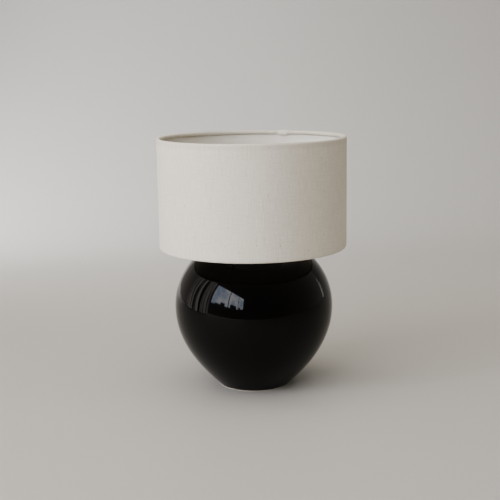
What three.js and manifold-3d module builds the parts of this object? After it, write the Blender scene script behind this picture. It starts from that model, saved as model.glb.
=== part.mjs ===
// Table lamp: a round ceramic base, a switched lampholder with a bulb, and a linen drum shade.
// Units are millimetres. +Z is up, and the origin is the centre of the foot, on the table.
import * as THREE from 'three';
import { mergeVertices } from 'three/addons/utils/BufferGeometryUtils.js';
import Module from 'manifold-3d';

const wasm = await Module();
wasm.setup();

// ---------- driving dimensions ----------

const GAP = 0.3; // clearance between neighbouring pieces

// shade
const SHADE_RADIUS = 150;
const SHADE_BOTTOM = 226;
const SHADE_HEIGHT = 175;
const CLOTH = 0.8;
const HEM_FOLD_RADIUS = 3.1;
const HEM_DEPTH = 7;
const LINER = 0.5;
const WIRE_RADIUS = 1.6;
const ARM_RADIUS = 1.5;
const ARM_COUNT = 3;
const FIRST_ARM_ANGLE = 243; // degrees from +X: front left
const FITTER_INNER = 20.8;
const FITTER_OUTER = 26;
const FITTER_THICKNESS = 2;

// base
const FELT = 1;
const FOOT_RADIUS = 60;
const BELLY_RADIUS = 127.75;
const BELLY_HEIGHT = 129;
const NECK_RADIUS = 34;
const BASE_HEIGHT = 230;
const WALL = 6.4;
const NECK_HOLE = 18;
const FLOOR_UNDERSIDE = 16;
const FLOOR_THICKNESS = 7;
const FLOOR_HOLE = 6;
const POT_PARTING = 0.05;
const RECESS_FOOT = 52;
const RECESS_TOP = 66;
const GROMMET_HEIGHT = 9;
const GROMMET_RADIUS = 5;
const GROMMET_BORE = 3.2;

// rod and its fastenings
const ROD_RADIUS = 5;
const ROD_BORE = 3.5;
const ROD_BOTTOM = 6;
const NUT_FLATS = 14;

// lampholder
const HOLDER_RADIUS = 19.5;
const HOLDER_WALL = 2;
const BOSS_RADIUS = 8.5;
const CAP_HEIGHT = 23.4;
const FLANGE_RADIUS = 23.5;
const FLANGE_THICKNESS = 2.5;
const THREAD_RADIUS = 19.4;
const SKIRT_BORE = 15.2;
const SKIRT_HEIGHT = 34.7;
const INSERT_HEIGHT = 7.4;
const SHELL_BORE = 13.6;
const SHELL_WALL = 0.6;
const SHELL_LENGTH = 24;
const BAR_RADIUS = 2.7;
const BAR_LENGTH = 54;
const BAR_TRAVEL = 7;
const RING_OUTER = 25;
const RING_HEIGHT = 6;
const RING_GRIPS = 12;

// bulb
const CAP_CREST = 13.1;
const CAP_ROOT = 12.3;
const CAP_WALL = 0.6;
const CAP_PITCH = 3.629;
const CAP_TURNS = 5;
const BULB_RADIUS = 17.5;
const HOUSING_LENGTH = 16.7;
const ENVELOPE_LENGTH = 63.7;
const ENVELOPE_WALL = 0.8;

// facets around each round piece
const FINE = 60;
const MEDIUM = 40;
const SMALL = 24;
const WIRE = 6; // around a wire's own section

// heights worked out from the dimensions above
const FOOT_BOTTOM = FELT + GAP;
const GASKET_BOTTOM = BASE_HEIGHT + GAP;
const GASKET_THICKNESS = 1;
const VASE_CAP_BOTTOM = GASKET_BOTTOM + GASKET_THICKNESS + GAP;
const VASE_CAP_THICKNESS = 1.5;
const VASE_CAP_HEIGHT = 3.4;
const LOCK_NUT_BOTTOM = VASE_CAP_BOTTOM + VASE_CAP_HEIGHT + GAP;
const LOCK_NUT_HEIGHT = 3;
const CAP_BOTTOM = LOCK_NUT_BOTTOM + LOCK_NUT_HEIGHT + GAP;
const CAP_TOP = CAP_BOTTOM + CAP_HEIGHT;
const ROD_TOP = CAP_BOTTOM + 6.4;
const BAR_HEIGHT = CAP_BOTTOM + 15.9;
const SKIRT_BOTTOM = CAP_TOP + GAP;
const FLANGE_TOP = SKIRT_BOTTOM + FLANGE_THICKNESS;
const SKIRT_TOP = SKIRT_BOTTOM + SKIRT_HEIGHT;
const INSERT_BOTTOM = SKIRT_BOTTOM + GAP;
const INSERT_TOP = INSERT_BOTTOM + INSERT_HEIGHT;
const SHELL_BOTTOM = INSERT_TOP + 1;
const FITTER_BOTTOM = FLANGE_TOP + GAP;
const FITTER_TOP = FITTER_BOTTOM + FITTER_THICKNESS;
const RING_BOTTOM = FITTER_TOP + GAP;
const LEAF_TOP = INSERT_TOP + 2.9;
const TIP_BOTTOM = LEAF_TOP + GAP;
const TIP_HEIGHT = 2;
const INSULATOR_BOTTOM = TIP_BOTTOM + TIP_HEIGHT + GAP;
const INSULATOR_HEIGHT = 3.4;
const BULB_CAP_BOTTOM = INSULATOR_BOTTOM + INSULATOR_HEIGHT + GAP;
const BULB_CAP_HEIGHT = 19.7;
const HOUSING_BOTTOM = BULB_CAP_BOTTOM + BULB_CAP_HEIGHT + GAP;
const BOARD_BOTTOM = HOUSING_BOTTOM + HOUSING_LENGTH + GAP;

// radii through the shade's wall, from the cloth inwards
const SHADE_TOP = SHADE_BOTTOM + SHADE_HEIGHT;
const CLOTH_INNER = SHADE_RADIUS - CLOTH;
const LINER_OUTER = CLOTH_INNER - GAP;
const LINER_INNER = LINER_OUTER - LINER;
const WIRE_CENTRE = LINER_INNER - GAP - WIRE_RADIUS;
const HEM_CENTRE = SHADE_RADIUS - HEM_FOLD_RADIUS;
const HEM_INNER = HEM_CENTRE - HEM_FOLD_RADIUS;

// ---------- materials ----------

function material(color, roughness, metalness) {
  return new THREE.MeshStandardMaterial({ color, roughness, metalness });
}

const glazedCeramic = material(0x0c0c0c, 0.12, 0);
const linen = material(0xd6d2c8, 0.95, 0);
const whiteLining = material(0xe6e3dc, 0.6, 0);
const whiteSteel = material(0xe2e0da, 0.4, 0);
const nickel = material(0xb9b5ab, 0.28, 1);
const zincSteel = material(0xa8aaac, 0.4, 1);
const brass = material(0xb8954a, 0.35, 1);
const blackPlastic = material(0x161616, 0.45, 0);
const whitePorcelain = material(0xe8e4da, 0.35, 0);
const blackRubber = material(0x1c1c1c, 0.8, 0);
const felt = material(0xb7afa3, 1, 0);
const blackGlass = material(0x121214, 0.2, 0);
const whitePlastic = material(0xeceae4, 0.4, 0);
const opal = material(0xf2efe8, 0.3, 0);

// ---------- geometry helpers ----------

// A solid of revolution about Z. The outline is [radius, height] points, anticlockwise.
function revolve(points, segments) {
  const outline = points.map(([r, z]) => new THREE.Vector2(r, z));
  return new THREE.LatheGeometry(outline, segments).rotateX(Math.PI / 2);
}

// A ring or washer with a rectangular section.
function ring(inner, outer, bottom, height, segments) {
  const top = bottom + height;
  const outline = [[inner, bottom], [outer, bottom], [outer, top], [inner, top], [inner, bottom]];
  return revolve(outline, segments);
}

// A solid disc or short post on the axis.
function disc(radius, bottom, height, segments) {
  const top = bottom + height;
  return revolve([[0, bottom], [radius, bottom], [radius, top], [0, top]], segments);
}

// A wire bent to a circle.
function wireRing(radius, height, wire, segments) {
  return new THREE.TorusGeometry(radius, wire, WIRE, segments).translate(0, 0, height);
}

// Points of a circular arc as [radius, height] pairs, angles in degrees.
function arc(r, z, radius, from, to, steps) {
  const points = [];
  for (let i = 0; i <= steps; i += 1) {
    const angle = THREE.MathUtils.degToRad(from + ((to - from) * i) / steps);
    points.push([r + radius * Math.cos(angle), z + radius * Math.sin(angle)]);
  }
  return points;
}

// Points of a cubic curve as [radius, height] pairs.
function curve(start, pull, push, end, steps) {
  const [a, b, c, d] = [start, pull, push, end].map(([r, z]) => new THREE.Vector2(r, z));
  return new THREE.CubicBezierCurve(a, b, c, d).getPoints(steps).map((p) => [p.x, p.y]);
}

// A hexagonal nut with a round hole.
function hexNut(bottom, height) {
  const corner = NUT_FLATS / 2 / Math.cos(Math.PI / 6);
  const outline = new THREE.Shape();
  for (let i = 0; i < 6; i += 1) {
    const angle = (i * Math.PI) / 3;
    outline[i === 0 ? 'moveTo' : 'lineTo'](corner * Math.cos(angle), corner * Math.sin(angle));
  }
  outline.closePath();
  outline.holes.push(new THREE.Path().absarc(0, 0, ROD_RADIUS + GAP, 0, Math.PI * 2, true));
  const options = { depth: height, bevelEnabled: false, curveSegments: SMALL };
  return new THREE.ExtrudeGeometry(outline, options).translate(0, 0, bottom);
}

// A closed mesh as a manifold, ready to be cut.
function toManifold(geometry) {
  const bare = geometry.clone();
  bare.deleteAttribute('normal');
  bare.deleteAttribute('uv');
  const merged = mergeVertices(bare, 1e-4);
  return new wasm.Manifold(new wasm.Mesh({
    numProp: 3,
    vertProperties: new Float32Array(merged.attributes.position.array),
    triVerts: new Uint32Array(merged.index.array),
  }));
}

// The first geometry less all of the others.
function cut(geometry, ...tools) {
  let result = toManifold(geometry);
  for (const tool of tools) {
    result = result.subtract(toManifold(tool));
  }
  const mesh = result.getMesh();
  const cutGeometry = new THREE.BufferGeometry();
  cutGeometry.setAttribute('position', new THREE.BufferAttribute(mesh.vertProperties, mesh.numProp));
  cutGeometry.setIndex(new THREE.BufferAttribute(mesh.triVerts, 1));
  cutGeometry.computeVertexNormals();
  return cutGeometry;
}

const lamp = new THREE.Group();

function add(parent, name, geometry, look) {
  const mesh = new THREE.Mesh(geometry, look);
  mesh.name = name;
  parent.add(mesh);
  return mesh;
}

// ---------- base ----------

// A thrown pot with an even wall, a raised floor and a hole in the foot wall for the cord.
function baseBody() {
  const innerBelly = BELLY_RADIUS - WALL;
  const innerTop = BASE_HEIGHT - WALL;
  const floorTop = FLOOR_UNDERSIDE + FLOOR_THICKNESS;
  const footEdge = [FOOT_RADIUS, FOOT_BOTTOM + 0.9];
  const outerBelly = [BELLY_RADIUS, BELLY_HEIGHT];
  const outline = [
    [RECESS_FOOT, FOOT_BOTTOM],
    [FOOT_RADIUS - 1.2, FOOT_BOTTOM],
    ...curve(footEdge, [85, 27.2], [BELLY_RADIUS, 68], outerBelly, 8),
    ...curve(outerBelly, [BELLY_RADIUS, 174.7], [96, BASE_HEIGHT], [NECK_RADIUS, BASE_HEIGHT], 8).slice(1),
    [NECK_HOLE, BASE_HEIGHT],
    [NECK_HOLE, innerTop],
    ...curve([NECK_RADIUS, innerTop], [92, innerTop], [innerBelly, 171.7], [innerBelly, BELLY_HEIGHT], 5),
    ...curve([innerBelly, BELLY_HEIGHT], [innerBelly, 73], [87.5, 37], [73, floorTop], 5).slice(1),
    [FLOOR_HOLE, floorTop],
    [FLOOR_HOLE, FLOOR_UNDERSIDE],
    [RECESS_TOP, FLOOR_UNDERSIDE],
    [RECESS_FOOT, FOOT_BOTTOM],
  ];
  const cordHole = new THREE.CylinderGeometry(GROMMET_RADIUS + GAP, GROMMET_RADIUS + GAP, 40, SMALL);
  cordHole.translate(0, RECESS_TOP, GROMMET_HEIGHT);
  return cut(revolve(outline, MEDIUM), cordHole);
}

// The pot is one casting. It is parted at its floor's underside into two solids a hair apart, so that
// collision pieces can follow the hollow under the floor.
function addPot(parent) {
  const pot = baseBody();
  const half = 100;
  const wide = BELLY_RADIUS + 10;
  const under = disc(wide, FLOOR_UNDERSIDE - half, half, MEDIUM);
  const over = disc(wide, FLOOR_UNDERSIDE - POT_PARTING, BASE_HEIGHT + half, MEDIUM);
  add(parent, 'base_body', cut(pot, under), glazedCeramic);
  add(parent, 'base_foot', cut(pot, over), glazedCeramic);
}

// A straight rubber sleeve with a lip at its outer end, its axis along Y.
function cordGrommet() {
  const inner = 55;
  const lip = 75.3;
  const outer = lip + 2;
  const lipRadius = GROMMET_RADIUS + 1.2;
  const outline = [
    [GROMMET_BORE, inner],
    [GROMMET_RADIUS, inner],
    [GROMMET_RADIUS, lip],
    [lipRadius, lip],
    [lipRadius, outer],
    [GROMMET_BORE, outer],
    [GROMMET_BORE, inner],
  ];
  return revolve(outline, SMALL).rotateX(-Math.PI / 2).translate(0, 0, GROMMET_HEIGHT);
}

// A spun cap over the neck: a flat rim, a low dome and a flat seat for the nut.
function vaseCap() {
  const hole = ROD_RADIUS + GAP;
  const rim = NECK_RADIUS - 1;
  const bottom = VASE_CAP_BOTTOM;
  const top = bottom + VASE_CAP_HEIGHT;
  const outline = [
    [hole, bottom],
    [rim, bottom],
    [rim, bottom + VASE_CAP_THICKNESS],
    ...curve([rim - 3, bottom + VASE_CAP_THICKNESS], [24, bottom + 1.8], [18, top], [13, top], 4),
    [hole, top],
    [hole, bottom],
  ];
  return revolve(outline, MEDIUM);
}

function addBase() {
  const base = new THREE.Group();
  lamp.add(base);
  addPot(base);
  add(base, 'foot_felt', ring(RECESS_FOOT + 1, FOOT_RADIUS - 1.5, 0, FELT, MEDIUM), felt);
  add(base, 'cord_grommet', cordGrommet(), blackRubber);
  const washerBottom = FLOOR_UNDERSIDE - GAP - 1.5;
  add(base, 'rod_washer', ring(ROD_RADIUS + GAP, 20, washerBottom, 1.5, SMALL), zincSteel);
  add(base, 'rod_nut', hexNut(washerBottom - GAP - 4, 4), zincSteel);
  const rod = ring(ROD_BORE, ROD_RADIUS, ROD_BOTTOM, ROD_TOP - ROD_BOTTOM, SMALL);
  add(base, 'threaded_rod', rod, zincSteel);
  const gasket = ring(NECK_HOLE + 1, NECK_RADIUS - 3, GASKET_BOTTOM, GASKET_THICKNESS, MEDIUM);
  add(base, 'neck_gasket', gasket, blackRubber);
  add(base, 'vase_cap', vaseCap(), nickel);
  add(base, 'lock_nut', hexNut(LOCK_NUT_BOTTOM, LOCK_NUT_HEIGHT), nickel);
}

// ---------- lampholder ----------

// The lower shell: a boss on the rod, a flare and a straight wall that the switch bar goes through.
function lampholderCap() {
  const hole = ROD_RADIUS + GAP;
  const bore = HOLDER_RADIUS - HOLDER_WALL;
  const floor = ROD_TOP + 1.5;
  const outline = [
    [hole, CAP_BOTTOM],
    [BOSS_RADIUS, CAP_BOTTOM],
    [BOSS_RADIUS, CAP_BOTTOM + 4.4],
    ...curve([BOSS_RADIUS + 1, CAP_BOTTOM + 5], [15, floor - 2], [HOLDER_RADIUS, floor - 1],
      [HOLDER_RADIUS, floor + 5], 4),
    [HOLDER_RADIUS, CAP_TOP],
    [bore, CAP_TOP],
    [bore, floor + 4.5],
    [BOSS_RADIUS + 1, floor],
    [hole, floor],
    [hole, CAP_BOTTOM],
  ];
  const barHole = new THREE.CylinderGeometry(BAR_RADIUS + GAP, BAR_RADIUS + GAP, 50, SMALL);
  barHole.rotateZ(Math.PI / 2).translate(0, 0, BAR_HEIGHT);
  const screwHole = new THREE.CylinderGeometry(1.8, 1.8, BOSS_RADIUS, 12);
  screwHole.translate(0, -BOSS_RADIUS, CAP_BOTTOM + 2.3);
  return cut(revolve(outline, SMALL), barHole, screwHole);
}

// The upper shell: a flange that carries the shade, and the wall that the shade ring screws onto.
function lampholderSkirt() {
  const outline = [
    [SKIRT_BORE, SKIRT_BOTTOM],
    [FLANGE_RADIUS, SKIRT_BOTTOM],
    [FLANGE_RADIUS, FLANGE_TOP],
    [THREAD_RADIUS, FLANGE_TOP],
    [THREAD_RADIUS, SKIRT_TOP - 1],
    [THREAD_RADIUS - 1, SKIRT_TOP],
    [SKIRT_BORE, SKIRT_TOP],
    [SKIRT_BORE, SKIRT_BOTTOM],
  ];
  return revolve(outline, SMALL);
}

// The sprung leaf under the bulb's tip: an arched strip of sheet brass.
function centreContact() {
  const halfSpan = 6;
  const rise = LEAF_TOP - INSERT_TOP - GAP;
  const sheet = 0.4;
  const radius = (halfSpan ** 2 + rise ** 2) / (2 * rise);
  const half = Math.asin(halfSpan / radius);
  const centre = rise - radius;
  const strip = new THREE.Shape();
  strip.absarc(0, centre, radius, Math.PI / 2 - half, Math.PI / 2 + half, false);
  strip.absarc(0, centre, radius - sheet, Math.PI / 2 + half, Math.PI / 2 - half, true);
  strip.closePath();
  const width = 4;
  const options = { depth: width, bevelEnabled: false, curveSegments: 8 };
  const leaf = new THREE.ExtrudeGeometry(strip, options).translate(0, 0, -width / 2);
  return leaf.rotateX(Math.PI / 2).rotateZ(Math.PI / 2).translate(0, 0, INSERT_TOP + GAP);
}

// A brass terminal block under the insert and the screw in its outer face. Side is +1 or -1 along Y.
function addTerminal(parent, name, side) {
  const size = { x: 6, y: 5, z: 3.6 };
  const centreY = side * 9;
  const centreZ = INSERT_BOTTOM - GAP - size.z / 2;
  const block = new THREE.BoxGeometry(size.x, size.y, size.z).translate(0, centreY, centreZ);
  add(parent, `terminal_${name}`, block, brass);
  const screwLength = 3;
  const screw = new THREE.CylinderGeometry(1.2, 1.2, screwLength, 12);
  screw.translate(0, centreY + side * (size.y / 2 + GAP + screwLength / 2), centreZ);
  add(parent, `terminal_screw_${name}`, screw, zincSteel);
}

function addLampholder() {
  const holder = new THREE.Group();
  lamp.add(holder);
  add(holder, 'lampholder_cap', lampholderCap(), blackPlastic);
  const grubScrew = new THREE.CylinderGeometry(1.5, 1.5, 3.6, 12);
  grubScrew.translate(0, -(ROD_RADIUS + GAP + 1.8), CAP_BOTTOM + 2.3);
  add(holder, 'lampholder_grub_screw', grubScrew, zincSteel);
  add(holder, 'lampholder_skirt', lampholderSkirt(), blackPlastic);
  const insert = disc(SKIRT_BORE - GAP, INSERT_BOTTOM, INSERT_HEIGHT, SMALL);
  add(holder, 'lampholder_insert', insert, whitePorcelain);
  const shell = ring(SHELL_BORE, SHELL_BORE + SHELL_WALL, SHELL_BOTTOM, SHELL_LENGTH, SMALL);
  add(holder, 'screw_shell', shell, nickel);
  add(holder, 'centre_contact', centreContact(), brass);
  const tongue = new THREE.BoxGeometry(7, 4, 0.4).translate(9.5, 0, INSERT_TOP + GAP + 0.2);
  add(holder, 'shell_contact', tongue, brass);
  addTerminal(holder, 'live', 1);
  addTerminal(holder, 'neutral', -1);
}

// ---------- switch ----------

// At rest the bar is pushed fully to -X, and it slides by its travel to +X.
function addSwitch() {
  const slider = new THREE.Group();
  slider.position.set(-BAR_TRAVEL / 2, 0, BAR_HEIGHT);
  lamp.add(slider);
  const bar = new THREE.CylinderGeometry(BAR_RADIUS, BAR_RADIUS, BAR_LENGTH, SMALL);
  add(slider, 'switch_bar', bar.rotateZ(Math.PI / 2), blackPlastic);
  const bridge = new THREE.BoxGeometry(8, 9, 0.8).translate(0, 0, BAR_RADIUS + GAP + 0.4);
  add(slider, 'switch_contact', bridge, brass);
}

// ---------- bulb ----------

// A thin screw cap, open at the top, with one ridge for each turn of its thread.
function bulbCap() {
  const ridges = [];
  for (let turn = 0; turn < CAP_TURNS; turn += 1) {
    const z = BULB_CAP_BOTTOM + 0.8 + turn * CAP_PITCH;
    ridges.push([CAP_ROOT, z], [CAP_CREST, z + 0.3 * CAP_PITCH], [CAP_CREST, z + 0.7 * CAP_PITCH]);
  }
  const top = BULB_CAP_BOTTOM + BULB_CAP_HEIGHT;
  const bore = CAP_ROOT - CAP_WALL;
  const inside = [[CAP_ROOT, top], [bore, top], [bore, BULB_CAP_BOTTOM + 1], [0, BULB_CAP_BOTTOM + 1]];
  return revolve([[0, BULB_CAP_BOTTOM], [CAP_ROOT - 0.8, BULB_CAP_BOTTOM], ...ridges, ...inside], SMALL);
}

// A thin candle-shaped cover, open at the bottom.
function bulbEnvelope() {
  const top = BOARD_BOTTOM + ENVELOPE_LENGTH;
  const shoulder = BOARD_BOTTOM + 14;
  const innerRadius = BULB_RADIUS - ENVELOPE_WALL;
  const widest = shoulder + 20;
  const inner = curve([0, top - 1.5], [4.5, top - 9], [innerRadius, widest], [innerRadius, shoulder], 7);
  const outer = curve([BULB_RADIUS, shoulder], [BULB_RADIUS, widest], [5, top - 8], [0, top], 7);
  const outline = [...inner, [innerRadius, BOARD_BOTTOM], [BULB_RADIUS, BOARD_BOTTOM], ...outer];
  return revolve(outline, SMALL);
}

function addBulb() {
  const bulb = new THREE.Group();
  lamp.add(bulb);
  const tip = revolve([[0, TIP_BOTTOM], [3.4, TIP_BOTTOM], [4.4, TIP_BOTTOM + 0.8],
    [4.4, TIP_BOTTOM + TIP_HEIGHT], [0, TIP_BOTTOM + TIP_HEIGHT]], SMALL);
  add(bulb, 'bulb_tip', tip, zincSteel);
  const insulatorTop = INSULATOR_BOTTOM + INSULATOR_HEIGHT;
  const insulator = revolve([[0, INSULATOR_BOTTOM], [5, INSULATOR_BOTTOM],
    [CAP_ROOT - 1, insulatorTop], [0, insulatorTop]], SMALL);
  add(bulb, 'bulb_insulator', insulator, blackGlass);
  add(bulb, 'bulb_cap', bulbCap(), nickel);
  const housingTop = HOUSING_BOTTOM + HOUSING_LENGTH;
  const flare = curve([13.4, HOUSING_BOTTOM + 2], [13.6, HOUSING_BOTTOM + 8],
    [BULB_RADIUS - 0.1, housingTop - 8], [BULB_RADIUS - 0.1, housingTop], 5);
  const housing = revolve([[0, HOUSING_BOTTOM], [13.4, HOUSING_BOTTOM], ...flare, [0, housingTop]], SMALL);
  add(bulb, 'bulb_housing', housing, whitePlastic);
  add(bulb, 'led_board', disc(15, BOARD_BOTTOM, 1.2, SMALL), whiteLining);
  add(bulb, 'bulb_envelope', bulbEnvelope(), opal);
}

// ---------- shade ----------

// The angles of the spider's arms about Z, in radians.
function armAngles() {
  const angles = [];
  for (let i = 0; i < ARM_COUNT; i += 1) {
    angles.push(THREE.MathUtils.degToRad(FIRST_ARM_ANGLE + (360 / ARM_COUNT) * i));
  }
  return angles;
}

// A drum of cloth with both edges folded in over the wires, slit at the bottom for the arms.
function shadeCover() {
  const foldInner = HEM_FOLD_RADIUS - CLOTH;
  const hemInnerFace = HEM_CENTRE - foldInner;
  const low = SHADE_BOTTOM + HEM_FOLD_RADIUS;
  const high = SHADE_TOP - HEM_FOLD_RADIUS;
  const lowHem = SHADE_BOTTOM + HEM_DEPTH;
  const highHem = SHADE_TOP - HEM_DEPTH;
  const outline = [
    ...arc(HEM_CENTRE, low, HEM_FOLD_RADIUS, 180, 360, 4),
    ...arc(HEM_CENTRE, high, HEM_FOLD_RADIUS, 0, 180, 4),
    [HEM_INNER, highHem],
    [hemInnerFace, highHem],
    ...arc(HEM_CENTRE, high, foldInner, 180, 0, 3),
    ...arc(HEM_CENTRE, low, foldInner, 360, 180, 3),
    [hemInnerFace, lowHem],
    [HEM_INNER, lowHem],
    [HEM_INNER, low],
  ];
  const slits = armAngles().map((angle) => {
    const slit = new THREE.BoxGeometry(2, 2 * (ARM_RADIUS + GAP), HEM_DEPTH);
    slit.translate(HEM_INNER + CLOTH / 2, 0, low - ARM_RADIUS - GAP + HEM_DEPTH / 2);
    return slit.rotateZ(angle);
  });
  return cut(revolve(outline, FINE), ...slits);
}

// A rod from the lower ring, level at first, up to the fitter ring.
function spiderArm(angle) {
  const low = SHADE_BOTTOM + HEM_FOLD_RADIUS;
  const high = FITTER_BOTTOM + FITTER_THICKNESS / 2;
  const start = WIRE_CENTRE - WIRE_RADIUS - GAP;
  const end = FITTER_OUTER + GAP;
  const points = [[start, low], [start - 5, low + 0.7], [end + 6, high - 0.7], [end, high]];
  const route = points.map(([r, z]) => new THREE.Vector3(r, 0, z));
  const path = new THREE.CatmullRomCurve3(route, false, 'catmullrom', 0.3);
  const section = new THREE.Shape().absarc(0, 0, ARM_RADIUS, 0, Math.PI * 2, false);
  const options = { steps: 8, curveSegments: 8, extrudePath: path, bevelEnabled: false };
  return new THREE.ExtrudeGeometry(section, options).rotateZ(angle);
}

// The ring that screws down on the shade: a round hole and a rim with finger grips.
function shadeRing() {
  const outline = new THREE.Shape();
  const steps = RING_GRIPS * 4;
  for (let i = 0; i < steps; i += 1) {
    const angle = (2 * Math.PI * i) / steps;
    const radius = i % 4 < 2 ? RING_OUTER : RING_OUTER - 1.2;
    outline[i === 0 ? 'moveTo' : 'lineTo'](radius * Math.cos(angle), radius * Math.sin(angle));
  }
  outline.closePath();
  outline.holes.push(new THREE.Path().absarc(0, 0, THREAD_RADIUS + 0.4, 0, Math.PI * 2, true));
  const options = { depth: RING_HEIGHT, bevelEnabled: false, curveSegments: SMALL };
  return new THREE.ExtrudeGeometry(outline, options).translate(0, 0, RING_BOTTOM);
}

function addShade() {
  const shade = new THREE.Group();
  lamp.add(shade);
  add(shade, 'shade_cover', shadeCover(), linen);
  const low = SHADE_BOTTOM + HEM_FOLD_RADIUS;
  const high = SHADE_TOP - HEM_FOLD_RADIUS;
  add(shade, 'shade_liner', ring(LINER_INNER, LINER_OUTER, low, high - low, FINE), whiteLining);
  add(shade, 'lower_ring', wireRing(WIRE_CENTRE, low, WIRE_RADIUS, FINE), whiteSteel);
  add(shade, 'upper_ring', wireRing(WIRE_CENTRE, high, WIRE_RADIUS, FINE), whiteSteel);
  armAngles().forEach((angle, i) => add(shade, `spider_arm_${i + 1}`, spiderArm(angle), whiteSteel));
  const fitter = ring(FITTER_INNER, FITTER_OUTER, FITTER_BOTTOM, FITTER_THICKNESS, SMALL);
  add(shade, 'fitter_ring', fitter, whiteSteel);
  add(shade, 'shade_ring', shadeRing(), blackPlastic);
}

addBase();
addLampholder();
addSwitch();
addBulb();
addShade();

export default lamp;
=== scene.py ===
"""Table lamp: a glossy black pot, a switched lampholder with a candle bulb, and a linen drum shade.

Everything is in metres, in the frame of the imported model. Places and sizes come from its nodes.
"""

import math

import bpy
from mathutils import Matrix, Vector, noise


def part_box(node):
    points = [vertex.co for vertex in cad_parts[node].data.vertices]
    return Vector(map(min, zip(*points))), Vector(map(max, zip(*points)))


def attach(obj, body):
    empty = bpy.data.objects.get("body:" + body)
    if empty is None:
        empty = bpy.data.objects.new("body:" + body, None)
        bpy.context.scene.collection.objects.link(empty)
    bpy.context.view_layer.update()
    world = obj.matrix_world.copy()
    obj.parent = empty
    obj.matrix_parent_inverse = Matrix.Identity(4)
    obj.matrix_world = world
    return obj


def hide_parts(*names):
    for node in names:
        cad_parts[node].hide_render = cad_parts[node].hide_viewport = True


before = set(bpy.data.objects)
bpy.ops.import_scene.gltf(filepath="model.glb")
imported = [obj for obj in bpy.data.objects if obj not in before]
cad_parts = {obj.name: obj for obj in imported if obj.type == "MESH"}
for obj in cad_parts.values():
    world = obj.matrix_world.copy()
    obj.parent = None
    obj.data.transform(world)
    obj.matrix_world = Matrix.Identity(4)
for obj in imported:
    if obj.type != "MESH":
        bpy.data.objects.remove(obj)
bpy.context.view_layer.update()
Z_AXIS = Vector((0, 0, 1))


def placed(name, data):
    """A new object in the scene."""
    thing = bpy.data.objects.new(name, data)
    bpy.context.scene.collection.objects.link(thing)
    return thing


def middle_height(node):
    low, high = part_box(node)
    return (low.z + high.z) / 2


# ---------- camera ----------

CAMERA_PLACE = Vector((0, -1.5504, 0.5147))
CAMERA_PITCH = math.radians(10.812)  # below the horizon
CAMERA_TURN = math.radians(-0.183)  # to the right
CAMERA_ROLL = math.radians(-0.84)
LENS, SENSOR_WIDTH = 70.45, 36


def add_camera():
    """The camera, turned, tipped down and rolled a little."""
    flat, down = math.cos(CAMERA_PITCH), math.sin(CAMERA_PITCH)
    forward = Vector((math.sin(CAMERA_TURN) * flat, math.cos(CAMERA_TURN) * flat, -down))
    level = forward.cross(Z_AXIS).normalized()
    upright = level.cross(forward)
    right = level * math.cos(CAMERA_ROLL) + upright * math.sin(CAMERA_ROLL)
    up = right.cross(forward)
    data = bpy.data.cameras.new("camera")
    data.lens, data.sensor_width = LENS, SENSOR_WIDTH
    data.clip_start, data.clip_end = 0.05, 50
    camera = placed("camera", data)
    turn = Matrix((right, up, -forward)).transposed()
    camera.matrix_world = Matrix.Translation(CAMERA_PLACE) @ turn.to_4x4()
    bpy.context.scene.camera = camera


# ---------- node helpers ----------


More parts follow.
